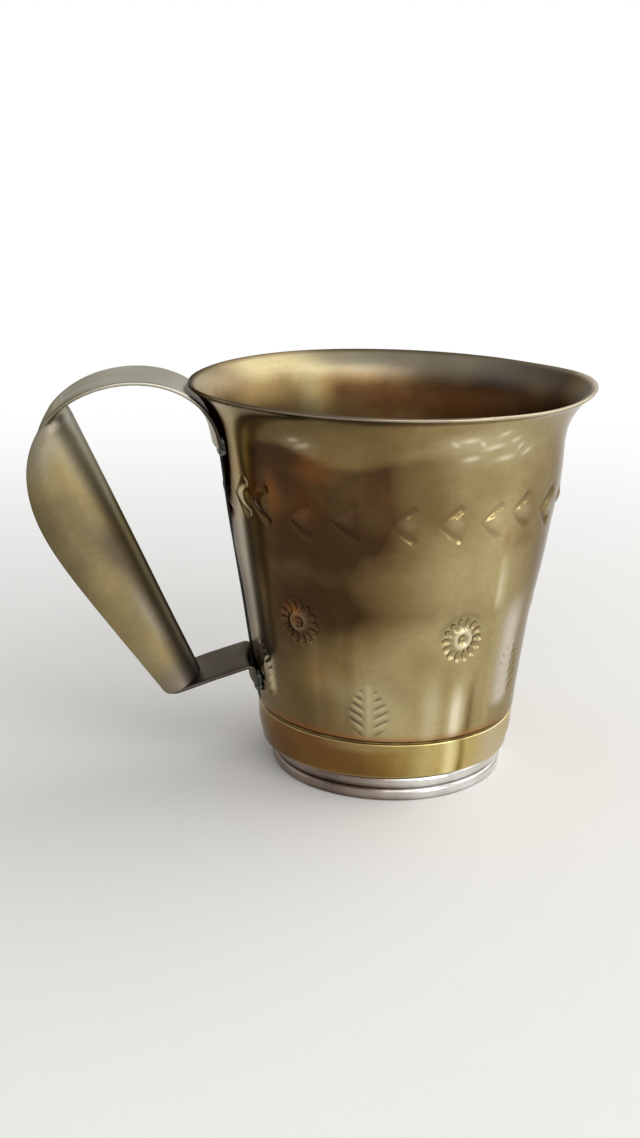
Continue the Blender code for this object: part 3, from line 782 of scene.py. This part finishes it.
def makeFoot():
    # half-round beads on a plain ring, soldered on a little to one side
    swing = np.linspace(0, math.pi, 13)
    tall = foot["height"] / foot["beads"]
    core, inner = foot["radius"] - foot["bead"], foot["radius"] - foot["width"]
    out, up = core + foot["bead"] * np.sin(swing), tall * (1 - np.cos(swing)) / 2
    beads = [np.stack([out, k * tall + up], axis=1) for k in range(foot["beads"])]
    outline = np.concatenate([chain(*beads), line((inner, foot["height"]), (inner, 0), 9)])
    radius, angle, height = carriedRound(outline, foot["columns"], foot["wave"], 31)
    aside = foot["shift"] * np.cos(angle - math.radians(foot["shiftAngle"]))
    points = roundAxis(radius + aside - foot["oval"] * np.cos(angle) ** 2, angle, height)
    valley = np.minimum.reduce([np.abs(height - k * tall) for k in range(foot["beads"] + 1)])
    grime = 0.45 * fadeOut(0.1, 0.7, valley)
    worn = 0.5 * fadeIn(0.9, 1.5, valley) * (1 - 0.7 * basePatina(angle))
    cloud = roundRipple(33, 6, angle, 1, height / 3, radius=6)
    # left darker, right near white: partly tarnish and partly painted reflection
    patina = 0.02 + 0.85 * basePatina(angle) + 0.10 * cloud
    putPiece("foot_ring_beads", points, ringFaces(points), "foot_ring", "foot_metal", footTin,
             patina=np.clip(patina, 0, 1), grime=grime, worn=worn)


def makeBottom():
    # thin disc, lightly dented by hammering; both faces and the edge in one closed run of rings
    rings = np.linspace(disc["hole"], 1, disc["rings"])
    radius = disc["radius"] * np.concatenate([rings, rings[::-1]])[:, None]
    upper = np.repeat([1.0, 0.0], disc["rings"])[:, None]
    angle = fullTurn(disc["columns"])
    x, y = radius * np.cos(angle), radius * np.sin(angle)
    dents = disc["dent"] * ripple(41, 8, x / 5, y / 5) * fadeOut(22, 29, radius)
    points = roundAxis(radius, angle, disc["under"] + upper * disc["sheet"] + dents)
    patina = np.clip(0.55 + 0.2 * ripple(43, 8, x / 6, y / 6), 0, 1)
    putPiece("bottom_sheet", points, tubeFaces(points), "bottom_disc", "wall_brass", wallBrass, sharp=50,
             patina=patina, grime=0.6 * fadeIn(24, 30, radius))


makeBand()
makeFoot()
makeBottom()


# handle: one sheet folded into arch, trough grip, strut and tabs; side view in (radius, height), mm; full is
# how far a curve's two handles reach, as shares of its rise or spread; square is the power of a deep section
strap = {
    "sheet": 1.0, "tabWidth": 24.0, "width": 22.0, "strutWidth": 18.8, "gap": 0.3,
    "upperTab": (84.5, 88.5), "archTop": (62.9, 100.4), "widest": (88.3, 77.5),
    "archFull": (0.6, 0.53), "crownFull": (0.51, 0.64), "bellyFull": (0.36, 0.42),
    "spineTop": (80.5, 94.7), "spineEase": 2.0, "spineFootBack": 8.1,
    "lowerTab": (23.4, 28.7), "tabBend": 1.6, "heelOut": 20.2, "heelDrop": 7.6, "heelBend": 2.2,
    "gripRun": (18.2, 25.5), "square": 2.6, "squareFrom": (3, 9), "arc": (1, 88),
    "stations": 260, "across": 36, "edgeSteps": 6,
}


def wallRadius(height):
    return np.interp(height, outerRun[::-1, 1], outerRun[::-1, 0])


def onWall(height):
    # middle of the strap's sheet where a tab lies against the wall
    height = np.asarray(height, float)
    return np.stack([wallRadius(height) + strap["gap"] + strap["sheet"] / 2, height], axis=-1)


def bendArc(before, corner, after, radius, count):
    # arc of the given radius that rounds a corner between two straight runs
    corner = np.asarray(corner, float)
    inward = unit(before - corner)
    onward = unit(after - corner)
    half = math.acos(float(inward @ onward)) / 2
    centre = corner + unit(inward + onward) * radius / math.sin(half)
    start = corner + inward * radius / math.tan(half) - centre
    end = corner + onward * radius / math.tan(half) - centre
    swing = np.linspace(0, math.copysign(math.pi - 2 * half, start[0] * end[1] - start[1] * end[0]), count)
    across = np.array([-start[1], start[0]])
    return centre + np.cos(swing)[:, None] * start + np.sin(swing)[:, None] * across


def strapPath():
    # columns: radius, height, width, how far the strap wraps round the wall, and its stretch: 0 for tab and
    # arch, 1 for the grip, 2 for the strut; each run leads on to the last three that stand beside it
    tab = onWall(np.linspace(*strap["upperTab"], 20))
    lean = (tab[-1] - tab[-2]) / (tab[-1] - tab[-2])[1]
    archTop, widest = np.array(strap["archTop"]), np.array(strap["widest"])
    rise = archTop - tab[-1]
    up, aside = strap["archFull"]
    arch = bezier([tab[-1], tab[-1] + lean * rise[1] * up, archTop - (rise[0] * aside, 0), archTop], 60)
    spread, fall = widest[0] - archTop[0], archTop[1] - widest[1]
    aside, up = strap["crownFull"]
    crown = bezier([archTop, archTop + (spread * aside, 0), widest + (0, fall * up), widest], 70)
    lowFoot, lowTop = onWall(strap["lowerTab"])
    heel = lowTop + (strap["heelOut"], -strap["heelDrop"])
    runTop = heel + np.array(strap["gripRun"])
    slope = unit(runTop - heel)
    drop = widest[1] - runTop[1]
    down, up = strap["bellyFull"]
    belly = bezier([widest, widest - (0, drop * down), runTop + slope * drop * up, runTop], 60)
    heelArc = bendArc(runTop, heel, lowTop, strap["heelBend"], 16)
    tabArc = bendArc(heel, lowTop, lowFoot, strap["tabBend"], 16)
    strutWay = unit(lowTop - heel)
    flatStart = heel + strutWay * (strap["spineFootBack"] + strap["spineEase"])
    wide, full, slim = strap["tabWidth"], strap["width"], strap["strutWidth"]
    runs = [(tab, wide, 1, 0), (arch, full, 0, 0), (crown, full, 0, 1), (belly, full, 0, 1),
            (line(runTop, heelArc[0], 40), slim, 0, 1), (heelArc, slim, 0, 2),
            (line(heelArc[-1], flatStart, 8), slim, 0, 2), (line(flatStart, tabArc[0], 12), slim, 1, 2),
            (tabArc, slim, 1, 2), (line(tabArc[-1], lowFoot, 10), slim, 1, 2)]
    columns, state = [], (wide, 1, 0)
    for run, *goal in runs:
        columns.append(np.hstack([run, line(state, goal, len(run))]))
        state = goal
    return chain(*columns), heel + strutWay * strap["spineFootBack"]


def strapSheet(across):
    # middle of the sheet: each section is an arc across the strap, flat on the arch and a deep trough on the
    # grip, with its straight spine on the mug's side and its free edges outwards
    path, spineFoot = strapPath()
    way = lengths(path[:, :2])
    at = np.linspace(0, way[-1], strap["stations"])[:, None]
    reach, level, width, wrap, stretch = [np.interp(at, way, path[:, k]) for k in range(5)]
    spineTop = np.array(strap["spineTop"])
    down = unit(spineFoot - spineTop)
    outward = np.array([-down[1], down[0]])
    ease = strap["spineEase"]
    stand = (reach - spineTop[0]) * outward[0] + (level - spineTop[1]) * outward[1]
    depth = np.where(stand > ease, stand, (np.clip(stand, -ease, ease) + ease) ** 2 / (4 * ease))
    half = width / 2
    opening = np.clip(2 * np.arctan2(depth, half), *np.radians(strap["arc"]))
    lift = (1 - np.cos(across * opening)) / (1 - np.cos(opening))
    side = half * np.sin(across * opening) / np.sin(opening)
    # where the trough is deep its flanks are a little flatter than the arc, as in a squarer U
    square = strap["square"]
    flat = 1 - np.clip(1 - np.abs(side / half) ** square, 0, 1) ** (1 / square)
    lift = lift + fadeIn(*strap["squareFrom"], depth) * (flat - lift)
    roundWall = side / reach
    out = reach + outward[0] * depth * (lift - 1) - wrap * reach * (1 - np.cos(roundWall))
    high = level + outward[1] * depth * (lift - 1)
    side = side * (1 - wrap) + wrap * reach * np.sin(roundWall)
    # hand-bent sheet: slight waviness away from the tabs
    free = fadeIn(0, 12, at) * fadeIn(0, 14, at[-1] - at)
    high = high + free * 0.10 * ripple(51, 7, at / 9, across * 1.5)
    out = out + free * 0.12 * ripple(52, 7, at / 11, across * 1.2)
    return np.stack([axisX - out, side, high], axis=-1), at, level, stretch


def strapFields(at, level, stretch, aside):
    # pale arch with paler edges, as wear and painted highlight; satin grip with painted highlight streaks
    # near the heel and painted shade along the spine, darker downwards; the strut darkest, as painted shade;
    # painted shade on the edges beside the upper tab; aside is 0 at the spine, 1 at an edge
    onStrut = fadeIn(1.2, 1.9, stretch)
    onGrip = fadeIn(0.05, 0.6, stretch) * (1 - onStrut)
    toHeel = fadeIn(at[-1] * 0.4, at[-1] * 0.8, at)
    toWall = fadeIn(at[-1] - 26, at[-1] - 12, at)
    byTab = fadeOut(8, 18, at)
    heel = fadeOut(22, 30, level)
    patina = (0.5 * toHeel - 0.36) * fadeOut(0.1, 0.5, aside) + 0.1 * fadeOut(0.05, 0.25, aside)  # painted shade along the spine, darker downwards
    patina = patina - 0.34 * fadeIn(52, 66, level) * hump(aside - 0.36, 0.4)  # painted highlight on the upper flank
    patina = patina + 0.22 * hump(level - 54, 17) * hump(aside - 0.6, 0.28)  # darker in the middle
    patina = patina - 0.4 * fadeIn(70, 84, level) + 0.4 * heel  # painted highlight on the crown, painted shade at the heel
    patina = patina - 0.2 * fadeIn(0.6, 0.9, aside) * toHeel  # paler low edges
    # tarnish along the arch, and the strut darker as painted shade
    patina = patina * onGrip + 0.14 + 0.54 * fadeIn(31, 46, at) + 0.32 * onStrut
    # painted highlight streaks on the lower flank
    streak = 0.26 * hump(level - 38, 11) * hump(aside - 0.6, 0.18) + 0.16 * hump(aside - 0.4, 0.32) * toHeel
    # paler arch edges, as wear and painted highlight
    rim = 0.5 * fadeIn(0.94, 1.0, aside) * (1 - onStrut) * (1 - onGrip) * (1 - byTab)
    # painted shade along the spine and on the upper grip edges
    onSpine = (0.3 + 0.35 * fadeOut(58, 72, level)) * fadeOut(0.06, 0.3, aside) * onGrip
    onEdge = 0.45 * fadeIn(0.9, 0.98, aside) * onGrip * (1 - toHeel)
    # painted shade on the edges beside the upper tab, on the strut and in the crown's fold
    grime = np.maximum.reduce(np.broadcast_arrays(
        0.9 * fadeIn(0.93, 0.98, aside) * byTab, onStrut * (0.12 + 0.12 * toWall),
        0.1 * hump(at - 44, 12), onEdge, onSpine))
    # grey tin on the strut; at the heel, in the crown's fold and on the upper tab a painted highlight
    tinned = onStrut * (0.16 - 0.08 * toWall) + 0.2 * heel * onGrip + 0.25 * hump(at - 53, 9)
    return {"patina": np.clip(patina, 0, 1), "grime": grime, "worn": np.maximum(rim, streak * onGrip),
            "tinned": tinned + 0.3 * hump(at - 13, 11), "satin": 0.9 * onGrip}


def makeStrap():
    # the sheet is given its thickness along its normals, and each free edge a half round
    across = np.linspace(-1, 1, strap["across"])[None, :]
    sheet, at, level, stretch = strapSheet(across)
    over = np.gradient(sheet, axis=1)
    normal = unit(np.cross(np.gradient(sheet, axis=0), over))
    beyond = unit(over)
    thick = strap["sheet"] / 2
    steps = np.linspace(0, math.pi, strap["edgeSteps"] + 2)[1:-1]

    def edgeRound(column, sign):
        # half circle from one face to the other round a free edge
        swing = (steps if sign > 0 else math.pi - steps)[None, :, None]
        return sheet[:, column, None] + thick * (np.cos(swing) * normal[:, column, None]
                                                 + sign * np.sin(swing) * beyond[:, column, None])

    upper, lower = sheet + thick * normal, (sheet - thick * normal)[:, ::-1]
    section = np.concatenate([upper, edgeRound(-1, 1), lower, edgeRound(0, -1)], axis=1)
    rim = np.ones((1, strap["edgeSteps"]))
    aside = np.abs(np.concatenate([across, rim, across[:, ::-1], -rim], axis=1))
    putPiece("handle_sheet", section * mm, tubeFaces(section), "handle_strap", "handle_brass", gripBrass,
             sharp=60, **strapFields(at, level, stretch, aside))


makeStrap()


# solder: runs round both tabs and in the two ring seams, in mm
fillet = {"wide": 1.5, "high": 0.9, "gap": 0.3, "stations": 120, "section": 10, "lumps": 0.25, "seed": 16,
          "lowerTop": 27.6}
seam = {"round": 0.15, "spacing": 0.15, "columns": 200,
        "band": ((31.0, 16.06), (32.74, 16.06), (32.7, 16.54), (32.2, 16.42), (31.0, 16.42)),
        "foot": ((25.4, 6.3), (27.0, 4.7), (27.0, 6.3))}


def makeFillet(name, node, width, low, top):
    # a half-round run of solder down one side of a tab, under its end and up the other side
    half, end = width / 2 + fillet["gap"], low - fillet["gap"]
    left = line((-half, top), (-half, end), 8)
    core = resample(chain(left, line((-half, end), (half, end), 8), left[::-1] * (-1, 1)), fillet["stations"])
    outward = np.stack([np.where(np.abs(core[:, 0]) > half - 0.01, np.sign(core[:, 0]), 0.0),
                        np.where(core[:, 1] < end + 0.01, -1.0, 0.0)], axis=1)
    eased = [np.convolve(np.pad(outward[:, k], 4, "edge"), np.ones(9) / 9, "valid") for k in range(2)]
    spread = unit(np.stack(eased, axis=1))
    way = np.linspace(0, 1, fillet["stations"])[:, None]
    taper = fadeIn(0, 0.05, way) * fadeIn(0, 0.05, 1 - way) * 0.85 + 0.15
    lump = 1 + fillet["lumps"] * ripple(fillet["seed"], 6, way * 22)
    swing = np.linspace(0, math.pi, fillet["section"])[None, :]
    share = 0.5 - 0.5 * np.cos(swing)
    offset = fillet["wide"] * taper * lump * share
    stand = fillet["high"] * taper * lump * np.sin(swing) ** 0.8 * (1 - 0.35 * share)
    level = core[:, 1:] + spread[:, 1:] * offset
    foundation = wallRadius(level) + fillet["gap"] * 0.4
    angle = math.pi - (core[:, :1] + spread[:, :1] * offset) / foundation
    points = roundAxis(foundation + stand, angle, level)
    putPiece(name, points, tubeFaces(points), node, "solder", softSolder, sharp=70)


def makeSeam(name, node, corners, waviness, seed, material, settle):
    # a thin run of solder all round, on the tilt of the base where it follows the band
    outline = roundedLoop(corners, seam["round"], 5, seam["spacing"])
    radius, angle, height = carriedRound(outline, seam["columns"], waviness, seed)
    points = roundAxis(radius, angle, height + settle * baseTilt(angle))
    putPiece(name, points, ringFaces(points), node, "solder", material)


makeFillet("upper_tab_solder", "upper_handle_solder", strap["tabWidth"], *strap["upperTab"])
makeFillet("lower_tab_solder", "lower_handle_solder", strap["strutWidth"], strap["lowerTab"][0],
           fillet["lowerTop"])
makeSeam("band_top_solder", "band_seam_solder", seam["band"], 0.03, 61, darkSolder, 1.0)
makeSeam("foot_solder", "foot_seam_solder", seam["foot"], 0.12, 62, softSolder, 0.0)


# stage: a round pale floor that curves up into a low backdrop, three lamps and an even sky; metres and watts
stage = {"paper": "#F4F2EE", "floor": 1.5, "curve": 0.3, "rise": 0.8, "hole": 0.02, "fade": (0.12, 0.5),
         "columns": 96, "sky": "#F2F5FA", "skyStrength": 0.5}
# place, target, width and height, power
softboxes = {"key softbox": ((1.15, 0.30, 0.85), (0.0, 0.0, 0.03), (2.0, 1.5), 13.0),
             "front softbox": ((0.40, -1.15, 0.90), (0.0, 0.0, 0.03), (1.6, 0.9), 9.0),
             "low right strip": ((0.80, -0.95, 0.14), (0.0, 0.0, 0.04), (0.6, 0.12), 1.0)}


def makeStage():
    # profile of the floor and its cove, carried round the origin
    swing = np.linspace(0, math.pi / 2, 16)
    cove = np.stack([stage["floor"] + stage["curve"] * np.sin(swing),
                     stage["rise"] * (1 - np.cos(swing))], axis=1)
    run = np.concatenate([line((stage["hole"], 0), (stage["floor"], 0), 12)[:-1], cove])
    angle = fullTurn(stage["columns"])
    out, high = run[:, :1], run[:, 1:]
    points = np.stack([out * np.cos(angle), out * np.sin(angle), high + 0 * angle], axis=-1)
    faces = turned(gridFaces(len(run), stage["columns"], wrapRows=False))
    mesh = newMesh("paper_floor", points, faces + [list(range(stage["columns"]))])
    # matt white paper, rolled: plain and pale, with a faint mottle of 3 mm
    material, tree, place = newMaterial("matt white paper")
    tone = addRange(tree, addNoise(tree, place, 3, 2.0), (0.0, 1.0), (0.985, 1.0))
    paper = addNode(tree, "VectorMath", {"operation": "SCALE", 0: hexToLinear(stage["paper"])[:3]},
                    {"Scale": tone})
    matt = addNode(tree, "BsdfDiffuse", {}, {"Color": paper.outputs["Vector"]})
    # beyond the shadow the paper is plain white, for the camera and in the metal alike
    white = addNode(tree, "Emission", {"Strength": 1.0})
    away = addNode(tree, "VectorMath", {"operation": "LENGTH"}, {0: place})
    fade = addRange(tree, away.outputs["Value"], stage["fade"], (0.0, 1.0), "SMOOTHSTEP")
    ray = addNode(tree, "LightPath")
    seen = ray.outputs["Is Camera Ray"]
    for kind in ("Is Glossy Ray", "Is Transmission Ray"):
        seen = addMath(tree, "ADD", seen, ray.outputs[kind], clamp=True)
    share = addMath(tree, "MULTIPLY", seen, fade)
    shader = addNode(tree, "MixShader", {},
                     {0: share, 1: matt.outputs["BSDF"], 2: white.outputs["Emission"]})
    addNode(tree, "OutputMaterial", {}, {"Surface": shader.outputs["Shader"]})
    mesh.materials.append(material)
    floor = newObject("paper_floor", mesh)


def addSoftbox(name, place, target, size, power):
    # a rectangular white lamp that faces its target
    lamp = bpy.data.lights.new(name, "AREA")
    lamp.shape = "RECTANGLE"
    lamp.size, lamp.size_y = size
    lamp.energy = power
    aim = unit(np.subtract(target, place))
    right = unit(np.cross(aim, (0, 0, 1)))
    facing = Matrix(np.stack([right, np.cross(right, aim), -aim], axis=1).tolist()).to_4x4()
    newObject(name, lamp).matrix_world = Matrix.Translation(place) @ facing


makeStage()
for name, settings in softboxes.items():
    addSoftbox(name, *settings)

world = bpy.data.worlds.new("studio")
bpy.context.scene.world = world
world.use_nodes = True
sky = world.node_tree.nodes["Background"].inputs
sky["Color"].default_value = hexToLinear(stage["sky"])
sky["Strength"].default_value = stage["skyStrength"]
print("stage and light set")
